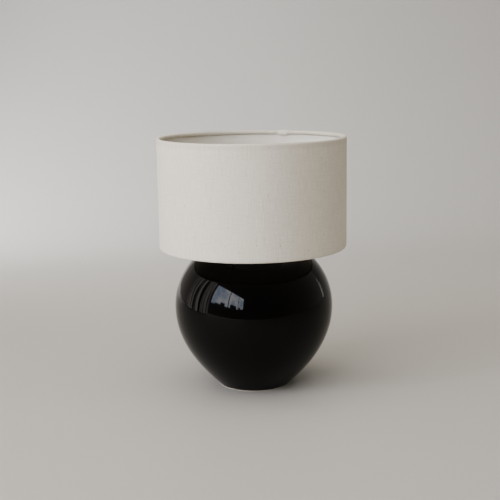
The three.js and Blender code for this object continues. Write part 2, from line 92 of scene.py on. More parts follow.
class Graph:
    """Short ways to build the node tree of a material or world round one shader."""

    def __init__(self, owner, shader, output="ShaderNodeOutputMaterial", place="Object"):
        owner.use_nodes = True
        self.owner = owner
        self.tree = owner.node_tree
        self.tree.nodes.clear()
        self.shader = self.add(shader)
        self.link(self.shader.outputs[0], self.add(output).inputs["Surface"])
        self.place = self.add("ShaderNodeTexCoord").outputs[place]

    def add(self, kind, **properties):
        node = self.tree.nodes.new(kind)
        for key, value in properties.items():
            setattr(node, key, value)
        return node

    def link(self, source, target):
        self.tree.links.new(source, target)

    def plug(self, socket, value):
        """Links or sets one input."""
        if isinstance(value, bpy.types.NodeSocket):
            self.link(value, socket)
        else:
            socket.default_value = value

    def fill(self, node, **values):
        """Links or sets inputs by name, and gives the node back."""
        for key, value in values.items():
            self.plug(node.inputs[key.replace("_", " ")], value)
        return node

    def maths(self, operation, a, b=0.0):
        node = self.add("ShaderNodeMath", operation=operation)
        self.plug(node.inputs[0], a)
        self.plug(node.inputs[1], b)
        return node.outputs[0]

    def plus(self, a, b):
        return self.maths("ADD", a, b)

    def times(self, a, b):
        return self.maths("MULTIPLY", a, b)

    def vector(self, x, y, z):
        return self.fill(self.add("ShaderNodeCombineXYZ"), X=x, Y=y, Z=z).outputs[0]

    def split(self, vector):
        node = self.add("ShaderNodeSeparateXYZ")
        self.link(vector, node.inputs[0])
        return tuple(node.outputs)

    def stretched(self, x, y, z):
        """The place with each of its parts scaled."""
        parts = zip(self.split(self.place), (x, y, z))
        return self.vector(*(self.times(part, by) for part, by in parts))

    def scaled(self, color, by):
        """The colour times a number."""
        node = self.add("ShaderNodeVectorMath", operation="SCALE")
        self.plug(node.inputs[0], color)
        self.plug(node.inputs["Scale"], by)
        return node.outputs[0]

    def noise(self, scale, detail=2.0, roughness=0.5, where=None):
        node = self.fill(self.add("ShaderNodeTexNoise"), Vector=where or self.place)
        return self.fill(node, Scale=scale, Detail=detail, Roughness=roughness).outputs["Fac"]

    def cells(self, scale, where=None, output="Distance"):
        node = self.add("ShaderNodeTexVoronoi")
        return self.fill(node, Vector=where or self.place, Scale=scale).outputs[output]

    def span(self, value, low, high, to_low=0.0, to_high=1.0):
        """Maps low..high to to_low..to_high, held at both ends."""
        node = self.add("ShaderNodeMapRange", clamp=True)
        for socket, number in zip(node.inputs, (value, low, high, to_low, to_high)):
            self.plug(socket, number)
        return node.outputs[0]

    def uneven(self, scale, detail, low, high):
        """A value that drifts between low and high over the surface."""
        return self.span(self.noise(scale, detail), 0.3, 0.7, low, high)

    def mix(self, share, a, b):
        node = self.add("ShaderNodeMix", data_type="RGBA")
        self.plug(node.inputs["Factor"], share)
        self.plug(node.inputs[6], a)
        self.plug(node.inputs[7], b)
        return node.outputs[2]

    def tint(self, color, mask, share, toward):
        """The colour moved by a share of the mask toward another one."""
        return self.mix(self.times(mask, share), color, toward)

    def bump(self, height, strength, distance, before=None):
        node = self.add("ShaderNodeBump")
        self.fill(node, Strength=strength, Distance=distance, Height=height)
        if before is not None:
            self.link(before, node.inputs["Normal"])
        return node.outputs[0]

    def finish(self, color, roughness=None, normal=None):
        self.plug(self.shader.inputs["Base Color"], color)
        if roughness is not None:
            self.plug(self.shader.inputs["Roughness"], roughness)
        if normal is not None:
            self.link(normal, self.shader.inputs["Normal"])
        return self.owner


def surface(name, **settings):
    """The graph of a new material, with its shader's fixed values."""
    n = Graph(bpy.data.materials.new(name), "ShaderNodeBsdfPrincipled")
    n.fill(n.shader, **settings)
    return n


def rgb(red, green, blue):
    return (red, green, blue, 1.0)


# ---------- materials ----------

CLAY = rgb(0.42, 0.37, 0.31), rgb(0.55, 0.50, 0.44)
GLAZE = rgb(0.0034, 0.0030, 0.0028), rgb(0.0052, 0.0047, 0.0043)
THIN_GLAZE = rgb(0.030, 0.016, 0.009)
SHADE_RADIUS = 0.15
THREAD_SPACING = 0.00062
SLUB_TONE, SLUB_TONE_ACROSS = rgb(0.56, 0.51, 0.43), rgb(0.86, 0.83, 0.77)
STAIN_TONE, FLECK_TONE = rgb(0.70, 0.64, 0.55), rgb(0.30, 0.20, 0.11)
# painted shade: the top hem made darker, as where the doubled cloth and its wire let less light
# through from inside
HEM_PAINTED_SHADE_TONE = rgb(0.42, 0.38, 0.31)
HEM_PAINTED_SHADE_SPAN = 0.0110, 0.0070  # below the shade's top: where its tone starts and where it is full


def black_glaze():
    """Thick glossy black glaze, thin and brown at the foot's edge, over bare clay on its rim."""
    n = surface("black_glaze", IOR=1.42)
    edge = n.plus(n.split(n.place)[2], n.times(n.noise(90, 3), -0.0012))
    glazed = n.span(edge, 0.0010, 0.0014)
    glaze = n.mix(n.span(edge, 0.0012, 0.0040), THIN_GLAZE, n.mix(n.noise(14, 3), *GLAZE))
    smear = n.span(n.noise(9, 4), 0.35, 0.75, 0.035, 0.075)
    roughness = n.plus(n.span(glazed, 0, 1, 0.85, 0.0), smear)
    soft = n.bump(n.noise(26, 2), 0.10, 0.0006)
    pinholes = n.bump(n.span(n.cells(260), 0.03, 0.06), 0.05, 0.0002, soft)
    return n.finish(n.mix(glazed, n.mix(n.noise(700, 4), *CLAY), glaze), roughness, pinholes)


def linen(name, pale, deep, contrast):
    """Natural linen, woven from uneven threads, with slubs, a few dark flecks and a band of painted
    shade under the top hem.
    """
    n = surface(name, Roughness=0.92, Sheen_Weight=0.15, Sheen_Roughness=0.5, IOR=1.4)
    x, y, height = n.split(n.place)
    along = n.times(n.maths("ARCTAN2", x, y), SHADE_RADIUS)  # round the drum

    def cloth(across, up, shift):
        """The place on the cloth, stretched, for a pattern of its own."""
        return n.vector(n.times(along, across), n.times(height, up), shift)

    def wave(place):
        return n.maths("SINE", n.times(place, 2 * math.pi / THREAD_SPACING))

    warp = n.noise(1.0, 1.5, where=cloth(1 / THREAD_SPACING, 40, 0.0))
    weft = n.noise(1.0, 1.5, where=cloth(70, 1 / THREAD_SPACING, 3.7))
    slub = n.span(n.noise(1.0, 2, where=cloth(420, 14, 0.0)), 0.60, 0.80)
    slub_across = n.span(n.noise(1.0, 2, where=cloth(40, 420, 5.0)), 0.62, 0.82)
    fleck = n.span(n.cells(1.0, where=cloth(95, 75, 1.0)), 0.05, 0.12, 1.0, 0.0)
    fleck = n.times(fleck, n.span(n.noise(38, 1), 0.47, 0.57))
    threads = n.plus(n.times(warp, 0.42), n.times(weft, 0.26))
    threads = n.plus(threads, n.times(n.noise(620, 3, 0.65), 0.32))
    color = n.mix(n.span(threads, 0.5 - contrast, 0.5 + contrast), deep, pale)
    color = n.tint(color, slub, 0.22, SLUB_TONE)
    color = n.tint(color, slub_across, 0.14, SLUB_TONE_ACROSS)
    color = n.tint(color, n.span(n.noise(11, 3), 0.4, 0.7), 0.06, STAIN_TONE)
    color = n.tint(color, fleck, 0.40, FLECK_TONE)
    # painted shade: a darker band under the top hem, fading out below it
    start, end = (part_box("shade_cover")[1].z - below for below in HEM_PAINTED_SHADE_SPAN)
    color = n.mix(n.span(height, start, end, 0.0, 0.15), color, HEM_PAINTED_SHADE_TONE)
    weave = n.times(wave(along), wave(height))
    thick = n.plus(n.times(threads, 1.4), n.times(weave, 0.25))
    thick = n.plus(thick, n.times(n.plus(slub, slub_across), 0.4))
    return n.finish(color, normal=n.bump(thick, 0.30, 0.00016))


def white_lining():
    """Smooth white lining sheet with a faint orange peel."""
    n = surface("white_lining", IOR=1.45)
    color = n.mix(n.noise(16, 3), rgb(0.81, 0.775, 0.705), rgb(0.86, 0.83, 0.765))
    return n.finish(color, n.uneven(60, 3, 0.50, 0.62), n.bump(n.noise(900, 2), 0.06, 0.0001))


def painted_steel():
    """White powder coat with a fine texture and a little wear."""
    n = surface("painted_steel", IOR=1.5)
    color = n.mix(n.noise(60, 4), rgb(0.74, 0.72, 0.67), rgb(0.80, 0.78, 0.74))
    worn = n.span(n.noise(220, 4, 0.65), 0.68, 0.76)
    color = n.tint(color, worn, 0.25, rgb(0.42, 0.40, 0.37))
    return n.finish(color, n.uneven(300, 2, 0.32, 0.46), n.bump(n.noise(1500, 2), 0.12, 0.0001))


def metal(name, low, high, rough_low, rough_high, turned):
    """Bare or plated metal with fine turning marks round Z and uneven tarnish."""
    n = surface(name, Metallic=1.0)
    x, y, height = n.split(n.place)
    radius = n.maths("SQRT", n.plus(n.times(x, x), n.times(y, y)))
    across = n.times(n.plus(radius, height), 2600)
    marks = n.noise(1.0, 1, where=n.vector(n.times(x, 60), n.times(y, 60), across))
    color = n.mix(n.noise(120, 4), rgb(*low), rgb(*high))
    return n.finish(color, n.uneven(260, 4, rough_low, rough_high), n.bump(marks, turned, 0.00004))


def moulded(name, low, high, rough_low, rough_high, grain=0.12, grain_scale=2600.0):
    """Moulded plastic or rubber: a fine spark-eroded grain and slightly uneven gloss."""
    n = surface(name)
    color = n.mix(n.noise(45, 3), rgb(*low), rgb(*high))
    normal = n.bump(n.noise(grain_scale, 2), grain, 0.00006)
    return n.finish(color, n.uneven(130, 4, rough_low, rough_high), normal)


def wool_felt():
    """Pressed wool felt: tangled fibres with soft edges."""
    n = surface("wool_felt", Roughness=1.0, Sheen_Weight=0.4, Sheen_Roughness=0.6)
    fibre = n.noise(1500, 5, 0.7)
    color = n.mix(n.span(fibre, 0.35, 0.65), rgb(0.40, 0.37, 0.32), rgb(0.58, 0.54, 0.48))
    return n.finish(color, normal=n.bump(fibre, 0.6, 0.0003))


def porcelain():
    """Dense white insulator, dull glazed."""
    n = surface("porcelain", IOR=1.5)
    white = n.mix(n.noise(90, 3), rgb(0.78, 0.76, 0.70), rgb(0.84, 0.82, 0.77))
    color = n.mix(n.span(n.cells(900), 0.05, 0.10, 0.35, 0.0), white, rgb(0.5, 0.45, 0.38))
    return n.finish(color, n.uneven(200, 3, 0.25, 0.40), n.bump(n.noise(700, 3), 0.1, 0.0001))


def opal():
    """Opal bulb cover: milky, smooth, with light just under its skin."""
    n = surface("opal", IOR=1.49, Subsurface_Weight=0.3, Subsurface_Scale=0.003)
    color = n.mix(n.noise(35, 3), rgb(0.86, 0.85, 0.81), rgb(0.90, 0.89, 0.86))
    return n.finish(color, n.uneven(70, 3, 0.20, 0.30), n.bump(n.noise(1200, 2), 0.03, 0.0001))


# lowest and highest colour, lowest and highest roughness, and how deep the turning marks are
METALS = {
    "nickel": ((0.60, 0.58, 0.54), (0.68, 0.66, 0.62), 0.24, 0.34, 0.03),
    "zinc_steel": ((0.50, 0.51, 0.53), (0.62, 0.63, 0.64), 0.32, 0.46, 0.06),
    "brass": ((0.62, 0.45, 0.20), (0.74, 0.56, 0.28), 0.28, 0.40, 0.05),
}
# the same, then the grain's depth and its scale
MOULDED = {
    "black_plastic": ((0.012, 0.012, 0.012), (0.020, 0.020, 0.019), 0.32, 0.46),
    "black_rubber": ((0.014, 0.014, 0.014), (0.026, 0.025, 0.024), 0.6, 0.8, 0.25, 1500),
    "black_glass": ((0.010, 0.010, 0.014), (0.018, 0.018, 0.022), 0.12, 0.22, 0.04),
    "white_plastic": ((0.78, 0.77, 0.73), (0.83, 0.82, 0.79), 0.34, 0.46),
}
MATERIALS = {
    "black_glaze": black_glaze(),
    "linen": linen("linen", rgb(0.85, 0.805, 0.722), rgb(0.68, 0.630, 0.542), 0.15),
    "tape": linen("linen_tape", rgb(0.86, 0.83, 0.76), rgb(0.80, 0.765, 0.69), 0.25),
    "white_lining": white_lining(),
    "white_steel": painted_steel(),
    "porcelain": porcelain(),
    "felt": wool_felt(),
    "opal_plastic": opal(),
    **{name: metal(name, *look) for name, look in METALS.items()},
    **{name: moulded(name, *look) for name, look in MOULDED.items()},
}


# ---------- mesh helpers ----------

SMOOTH_ANGLE = 35  # degrees, above which an edge is sharp
MOST_CUT = 0.45  # of a side, at a rounded corner


def make_piece(name, vertices, faces, body, slot, stands_for, smooth_angle=SMOOTH_ANGLE):
    """A mesh object in the material of its record slot, riding on a body in place of CAD nodes."""
    mesh = bpy.data.meshes.new(name)
    mesh.from_pydata([tuple(v) for v in vertices], [], faces)
    mesh.validate()
    mesh.materials.append(MATERIALS[slot])
    piece = placed(name, mesh)
    mesh.shade_smooth()
    mesh.set_sharp_from_angle(angle=math.radians(smooth_angle))
    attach(piece, body)
    if stands_for:
        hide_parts(*stands_for)
    return piece


def bands(count, spans, steps, rings):
    """Faces that join rings of so many points, each to the next, in a list of the rings' points."""
    faces = []
    for step in range(steps):
        here, there = step * count, (step + 1) % rings * count
        for i in range(spans):
            j = (i + 1) % count
            faces.append((here + i, there + i, there + j, here + j))
    return faces


def turned_mesh(outline, segments, shape=None):
    """Vertices and faces of an outline of (radius, height) turned about Z.

    The outline runs anticlockwise. It closes on itself, or starts and ends on the axis.
    shape(radius, height, angle) gives each point's own radius and height.
    """
    on_axis = outline[0][0] == 0
    ring_points = outline[1:-1] if on_axis else outline
    count = len(ring_points)
    vertices = []
    for step in range(segments):
        angle = 2 * math.pi * step / segments
        for radius, height in ring_points:
            r, h = shape(radius, height, angle) if shape else (radius, height)
            vertices.append((r * math.cos(angle), r * math.sin(angle), h))
    faces = bands(count, count - 1 if on_axis else count, segments, segments)
    if on_axis:
        first, last = len(vertices), len(vertices) + 1
        vertices += [(0, 0, outline[0][1]), (0, 0, outline[-1][1])]
        for step in range(segments):
            here, there = step * count, (step + 1) % segments * count
            faces.append((first, there, here))
            faces.append((last, here + count - 1, there + count - 1))
    return vertices, faces


def curve(start, pull, push, end, steps):
    """Points of a cubic curve as (radius, height) pairs."""
    points = []
    for i in range(steps + 1):
        t = i / steps
        a, b, c, d = (1 - t) ** 3, 3 * t * (1 - t) ** 2, 3 * t * t * (1 - t), t**3
        corners = zip(start, pull, push, end)
        points.append(tuple(a * p + b * q + c * r + d * s for p, q, r, s in corners))
    return points


def arc(r, h, radius, start, end, steps):
    """Points of a circular arc, angles in degrees."""
    points = []
    for i in range(steps + 1):
        angle = math.radians(start + (end - start) * i / steps)
        points.append((r + radius * math.cos(angle), h + radius * math.sin(angle)))
    return points


def rounded(outline, radius, steps=3):
    """A closed outline with each corner off the axis cut by a small curve."""
    points = []
    count = len(outline)
    for i, (r, h) in enumerate(outline):
        if r == 0:
            points.append((r, h))
            continue
        here = Vector((r, h))
        before = Vector(outline[i - 1]) - here
        after = Vector(outline[(i + 1) % count]) - here
        cut = min(radius, before.length * MOST_CUT, after.length * MOST_CUT)
        a, b = here + before.normalized() * cut, here + after.normalized() * cut
        for k in range(steps + 1):
            t = k / steps
            p = a * (1 - t) ** 2 + here * 2 * t * (1 - t) + b * t * t
            points.append((p.x, p.y))
    return points


def tube_mesh(points, radius, swell, sides=16):
    """Vertices and faces of a closed round rod along points. swell(share) scales the radius."""
    vertices, faces = [], []
    side = None
    for i, point in enumerate(points):
        ahead = (points[min(i + 1, len(points) - 1)] - points[max(i - 1, 0)]).normalized()
        if side is None:
            side = ahead.orthogonal().normalized()
        side = (side - ahead * side.dot(ahead)).normalized()
        across = ahead.cross(side)
        here = radius * swell(i / (len(points) - 1))
        for k in range(sides):
            angle = 2 * math.pi * k / sides
            vertices.append(point + (side * math.cos(angle) + across * math.sin(angle)) * here)
    for i in range(len(points) - 1):
        for k in range(sides):
            a, b = i * sides + k, i * sides + (k + 1) % sides
            faces.append((a, b, b + sides, a + sides))
    last = (len(points) - 1) * sides
    faces.append(tuple(range(sides - 1, -1, -1)))
    faces.append(tuple(range(last, last + sides)))
    return vertices, faces


def moved(vertices, matrix):
    return [matrix @ Vector(v) for v in vertices]


def turned(name, outline, segments, body, slot, stands_for, shape=None, matrix=None,
           smooth_angle=SMOOTH_ANGLE):
    """A turned piece."""
    vertices, faces = turned_mesh(outline, segments, shape)
    if matrix is not None:
        vertices = moved(vertices, matrix)
    return make_piece(name, vertices, faces, body, slot, stands_for, smooth_angle)


def drill(piece, vertices, faces):
    """Cuts a closed shape out of a piece."""
    mesh = bpy.data.meshes.new("cutter")
    mesh.from_pydata([tuple(v) for v in vertices], [], faces)
    cutter = placed("cutter", mesh)
    change = piece.modifiers.new("hole", "BOOLEAN")
    change.operation, change.solver, change.object = "DIFFERENCE", "EXACT", cutter
    graph = bpy.context.evaluated_depsgraph_get()
    cut = bpy.data.meshes.new_from_object(piece.evaluated_get(graph))
    piece.modifiers.clear()
    piece.data = cut
    bpy.data.objects.remove(cutter)
    cut.set_sharp_from_angle(angle=math.radians(SMOOTH_ANGLE))


def washer_outline(node, bore, corner):
    """The rounded section of a flat ring, from its node's box and bore."""
    low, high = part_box(node)
    square = [(bore, low.z), (high.x, low.z), (high.x, high.z), (bore, high.z)]
    return rounded(square, corner)


def wobble(amount, scale, seed):
    """A small slow change of radius, as on a handmade round thing."""

    def shape(radius, height, angle):
        where = Vector((math.cos(angle) * scale, math.sin(angle) * scale, height / 0.05 + seed))
        return radius + amount * noise.noise(where), height

    return shape


def helix(pitch, depth, low, high, inner=0.0):
    """A rounded thread between two heights, on every point outside the inner radius."""

    def shape(radius, height, angle):
        if radius < inner:
            return radius, height
        strength = max(0.0, min(1.0, (height - low) / pitch, (high - height) / pitch))
        turn = height / pitch - angle / (2 * math.pi)
        return radius + depth * strength * math.cos(2 * math.pi * turn), height

    return shape


def hexagon(flats):
    """Clips a turned outline to a hexagon of that width across its flats."""

    def shape(radius, height, angle):
        from_flat = angle % (math.pi / 3) - math.pi / 6
        return min(radius, flats / 2 / math.cos(from_flat)), height

    return shape


def steps_between(start, end, count):
    """Evenly spaced points of a straight line, both ends included."""
    return [tuple(a + (b - a) * i / count for a, b in zip(start, end)) for i in range(count + 1)]


# ---------- base ----------

BELLY_HEIGHT, WALL = 0.129, 0.0064
NECK_RADIUS, NECK_HOLE = 0.034, 0.018
FLOOR, FLOOR_TOP, FLOOR_HOLE = 0.016, 0.023, 0.006  # FLOOR is its underside
FOOT_RADIUS, RECESS_FOOT, RECESS_TOP = 0.060, 0.052, 0.066
ROD_CLEARANCE, ROD_BORE, CORD_BORE = 0.0053, 0.0035, 0.0032
NUT_FLATS = 0.014
THREAD_PITCH = 0.001


def base_outline():
    """The pot's section: a rounded foot, a full belly, a flat neck and an even wall."""
    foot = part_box("base_foot")[0].z
    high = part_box("base_body")[1]
    belly, top = high.x, high.z
    inside, under = belly - WALL, top - WALL
    lip = arc(NECK_HOLE + 0.0016, top - 0.0016, 0.0016, 90, 180, 4)
    heel = arc(FOOT_RADIUS - 0.0014, foot + 0.0014, 0.0014, -90, -25, 4)
    return [
        (RECESS_FOOT + 0.0006, foot),
        *heel,
        *curve((FOOT_RADIUS + 0.0002, foot + 0.0013), (0.085, 0.0272), (belly, 0.068),
               (belly, BELLY_HEIGHT), 56),
        *curve((belly, BELLY_HEIGHT), (belly, 0.1747), (0.096, top), (NECK_RADIUS, top), 56)[1:],
        *lip,
        (NECK_HOLE, under),
        *curve((NECK_RADIUS, under), (0.092, under), (inside, 0.1717), (inside, BELLY_HEIGHT), 20),
        *curve((inside, BELLY_HEIGHT), (inside, 0.073), (0.0875, 0.037),
               (0.073, FLOOR_TOP), 20)[1:],
        (FLOOR_HOLE, FLOOR_TOP), (FLOOR_HOLE, FLOOR), (RECESS_TOP - 0.002, FLOOR),
        (RECESS_TOP, FLOOR - 0.0015), (RECESS_FOOT, foot + 0.0006),
    ]


def along_y(height):
    """Turns a shape made round Z so that its axis runs along Y, at that height."""
    return Matrix.Translation((0, 0, height)) @ Matrix.Rotation(-math.pi / 2, 4, "X")


def along_x(height, middle=0.0):
    """The same along X, from that middle."""
    return Matrix.Translation((middle, 0, height)) @ Matrix.Rotation(math.pi / 2, 4, "Y")


def plain_hole(radius, start, end, matrix):
    """A plain round cutter, from start to end along the axis that the matrix gives it."""
    vertices, faces = turned_mesh([(0, start), (radius, start), (radius, end), (0, end)], 48)
    return moved(vertices, matrix), faces


def add_base():
    """The pot with its felt ring, and what closes its floor and neck."""
    pot = turned("glazed_base", base_outline(), 224, "base", "black_glaze",
                 ("base_body", "base_foot"), wobble(0.00018, 1.1, 4.0))
    low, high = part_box("cord_grommet")
    lip, flange = high.x, high.x - 0.0012
    place = along_y(middle_height("cord_grommet"))
    drill(pot, *plain_hole(flange + 0.0002, RECESS_FOOT - 0.002, high.y + 0.002, place))
    felt = washer_outline("foot_felt", RECESS_FOOT + 0.001, 0.0004)
    turned("foot_felt_ring", felt, 160, "base", "felt", ("foot_felt",), wobble(0.00010, 30, 1.0))
    sleeve = [
        (CORD_BORE, low.y), (flange, low.y), (flange, high.y - 0.002), (lip, high.y - 0.002),
        (lip, high.y), (CORD_BORE, high.y),
    ]
    turned("cord_sleeve", rounded(sleeve, 0.0006), 48, "base", "black_rubber", ("cord_grommet",),
           matrix=place)
    washer = washer_outline("rod_washer", ROD_CLEARANCE, 0.0003)
    turned("washer_under_floor", washer, 72, "base", "zinc_steel", ("rod_washer",))
    add_nut("nut_under_floor", "rod_nut", "zinc_steel")
    add_nut("neck_nut", "lock_nut", "nickel")
    add_rod()
    seal = washer_outline("neck_gasket", NECK_HOLE + 0.001, 0.0003)
    turned("neck_seal", seal, 96, "base", "black_rubber", ("neck_gasket",))
    add_vase_cap()


def add_nut(name, node, slot):
    """A hexagonal nut with both faces chamfered."""
    low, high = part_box(node)
    corner = NUT_FLATS / 2 / math.cos(math.pi / 6)
    chamfer, flat = 0.0007, NUT_FLATS / 2 * 0.98
    bore = ROD_CLEARANCE
    outline = [
        (bore + 0.0005, low.z), (flat, low.z),
        *steps_between((flat + 0.0002, low.z + 0.0001), (corner, low.z + chamfer), 4),
        *steps_between((corner, high.z - chamfer), (flat + 0.0002, high.z - 0.0001), 4),
        (flat, high.z), (bore + 0.0005, high.z), (bore, high.z - 0.0005), (bore, low.z + 0.0005),
    ]
    turned(name, outline, 96, "base", slot, (node,), hexagon(NUT_FLATS), smooth_angle=20)


def add_rod():
    """The hollow rod, threaded where it shows below the floor."""
    low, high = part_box("threaded_rod")
    outer, bore = high.x, ROD_BORE
    threaded = low.z + 0.0105
    points = round((threaded - low.z) / THREAD_PITCH * 8)
    outline = [
        (bore, low.z), (outer - 0.0004, low.z),
        *steps_between((outer - 0.0002, low.z + 0.0003), (outer - 0.0002, threaded), points),
        (outer, high.z - 0.0004), (outer - 0.0004, high.z), (bore, high.z),
    ]
    thread = helix(THREAD_PITCH, 0.0002, low.z, threaded, bore + 0.0005)
    turned("hollow_rod", outline, 48, "base", "zinc_steel", ("threaded_rod",), thread)


def add_vase_cap():
    """The spun metal cap on the neck: a rolled rim, a low dome and a flat seat."""
    low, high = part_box("vase_cap")
    rim, seat = high.x, 0.013
    step = low.z + 0.0016
    outline = [
        (ROD_CLEARANCE, low.z), (rim - 0.0009, low.z),
        *arc(rim - 0.0009, low.z + 0.0008, 0.0008, -80, 80, 6),
        (rim - 0.0014, step),
        *curve((rim - 0.003, step), (0.025, step), (0.019, high.z), (seat, high.z), 14),
        (ROD_CLEARANCE + 0.0003, high.z), (ROD_CLEARANCE, high.z - 0.0003),
    ]
    turned("neck_cap", outline, 128, "base", "nickel", ("vase_cap",))


# ---------- lampholder and switch ----------

HOLDER_RADIUS = 0.0195
HOLDER_WALL = 0.002
BOSS = 0.0085
BAR_CLEARANCE = 0.0003
SKIRT_BORE = 0.0152
SKIRT_THREAD_PITCH = 0.0025
LAMP_THREAD_PITCH = 0.003629


def add_holder_cap():
    """The lower shell: a boss, a flared floor and a ribbed wall, pierced for bar and grub screw."""
    low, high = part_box("lampholder_cap")
    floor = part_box("threaded_rod")[1].z + 0.0015
    bore = HOLDER_RADIUS - HOLDER_WALL
    outline = [
        (ROD_CLEARANCE, low.z), (BOSS - 0.0006, low.z), (BOSS, low.z + 0.0006),
        (BOSS, low.z + 0.0042),
        *curve((BOSS + 0.0008, low.z + 0.005), (0.0150, floor - 0.002),
               (HOLDER_RADIUS, floor - 0.001), (HOLDER_RADIUS, floor + 0.005), 10),
        (HOLDER_RADIUS, high.z - 0.0022), (HOLDER_RADIUS - 0.0004, high.z - 0.0019),
        (HOLDER_RADIUS - 0.0004, high.z - 0.0013), (HOLDER_RADIUS, high.z - 0.0010),
        (HOLDER_RADIUS, high.z - 0.0003), (HOLDER_RADIUS - 0.0003, high.z), (bore, high.z),
        (bore, floor + 0.0045), (BOSS + 0.001, floor), (ROD_CLEARANCE, floor),
    ]
    cap = turned("holder_lower_shell", outline, 96, "base", "black_plastic", ("lampholder_cap",))
    bar_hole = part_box("switch_bar")[1].y + BAR_CLEARANCE
    reach = HOLDER_RADIUS * 1.4
    drill(cap, *plain_hole(bar_hole, -reach, reach, along_x(middle_height("switch_bar"))))
    grub_screw = along_y(middle_height("lampholder_grub_screw"))
    drill(cap, *plain_hole(0.0018, -0.0120, -0.004, grub_screw))


def add_holder_skirt():
    """The upper shell: a grooved flange and a coarse thread for the shade ring."""
    low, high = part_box("lampholder_skirt")
    flange, thread = high.x, 0.0194
    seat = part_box("fitter_ring")[0].z - 0.0003
    start, end = seat + 0.0008, high.z - 0.0012
    points = round((end - start) / SKIRT_THREAD_PITCH * 10)
    outline = [
        (SKIRT_BORE, low.z), (flange - 0.0005, low.z),
        *arc(flange - 0.0005, low.z + 0.0005, 0.0005, -60, 0, 3),
        *arc(flange - 0.0005, seat - 0.0005, 0.0005, 0, 90, 4),
        (thread - 0.0001, seat), (thread - 0.00025, seat + 0.0004),
        *steps_between((thread - 0.00025, start), (thread - 0.00025, end), points),
        *arc(thread - 0.0011, high.z - 0.0008, 0.0008, 0, 90, 4),
        (SKIRT_BORE + 0.0004, high.z), (SKIRT_BORE, high.z - 0.0004),
    ]
    turned("holder_upper_shell", outline, 120, "base", "black_plastic", ("lampholder_skirt",),
           helix(SKIRT_THREAD_PITCH, 0.00025, start, end, thread - 0.001))


def add_screw_shell():
    """The rolled metal socket shell, with the lamp thread pressed through its wall."""
    low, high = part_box("screw_shell")
    inner, outer = 0.0136, high.x
    points = round((high.z - low.z) / LAMP_THREAD_PITCH * 12)
    outline = [
        *steps_between((outer, low.z), (outer, high.z), points),
        *steps_between((inner, high.z), (inner, low.z), points),
    ]
    shape = helix(LAMP_THREAD_PITCH, 0.0003, low.z, high.z)
    turned("socket_shell", outline, 96, "base", "nickel", ("screw_shell",), shape)


def add_insert():
    """The insulating block, with a rim and a raised centre."""
    low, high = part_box("lampholder_insert")
    edge = high.x
    block = [
        (0, low.z), (edge - 0.0008, low.z),
        *arc(edge - 0.0008, low.z + 0.0008, 0.0008, -80, 0, 4),
        *arc(edge - 0.0006, high.z - 0.0006, 0.0006, 0, 90, 4),
        (0.0122, high.z), (0.0118, high.z - 0.0008), (0.0100, high.z - 0.0008), (0.0096, high.z),
        (0, high.z),
    ]
    turned("holder_insert", block, 96, "base", "porcelain", ("lampholder_insert",))


def carry_over(node, slot, bevel):
    """Keeps a CAD node's shape, with softened edges and a real material."""
    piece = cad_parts[node]
    for material_slot in piece.material_slots:
        material_slot.material = MATERIALS[slot]
    soften = piece.modifiers.new("soft_edges", "BEVEL")
    soften.width, soften.segments, soften.limit_method = bevel, 2, "ANGLE"
    soften.angle_limit = math.radians(40)
    soften.harden_normals = True


def add_lampholder():
    add_holder_cap()
    add_holder_skirt()
    add_screw_shell()
    add_insert()
    for node in ("centre_contact", "shell_contact", "terminal_live", "terminal_neutral"):
        carry_over(node, "brass", 0.00012)
    for node in ("terminal_screw_live", "terminal_screw_neutral", "lampholder_grub_screw"):
        carry_over(node, "zinc_steel", 0.0002)


def add_switch():
    """The push bar, with domed ends and a shallow groove near each, and its brass bridge."""
    low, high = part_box("switch_bar")
    radius, half = high.y, (high.x - low.x) / 2
    groove = radius - 0.0003
    dome = 0.0012
    end = [
        (radius, half - 0.0075), (groove, half - 0.0072), (groove, half - 0.0066),
        (radius, half - 0.0063), (radius, half - dome), (radius * 0.93, half - dome * 0.5),
        (radius * 0.72, half - dome * 0.16), (radius * 0.38, half - dome * 0.03), (0, half),
    ]
    outline = [*((r, -h) for r, h in reversed(end)), *end]
    place = along_x(middle_height("switch_bar"), (low.x + high.x) / 2)
    turned("push_bar", outline, 64, "switch", "black_plastic", ("switch_bar",), matrix=place)
    carry_over("switch_contact", "brass", 0.0002)


# ---------- bulb ----------

BULB_WALL = 0.0008


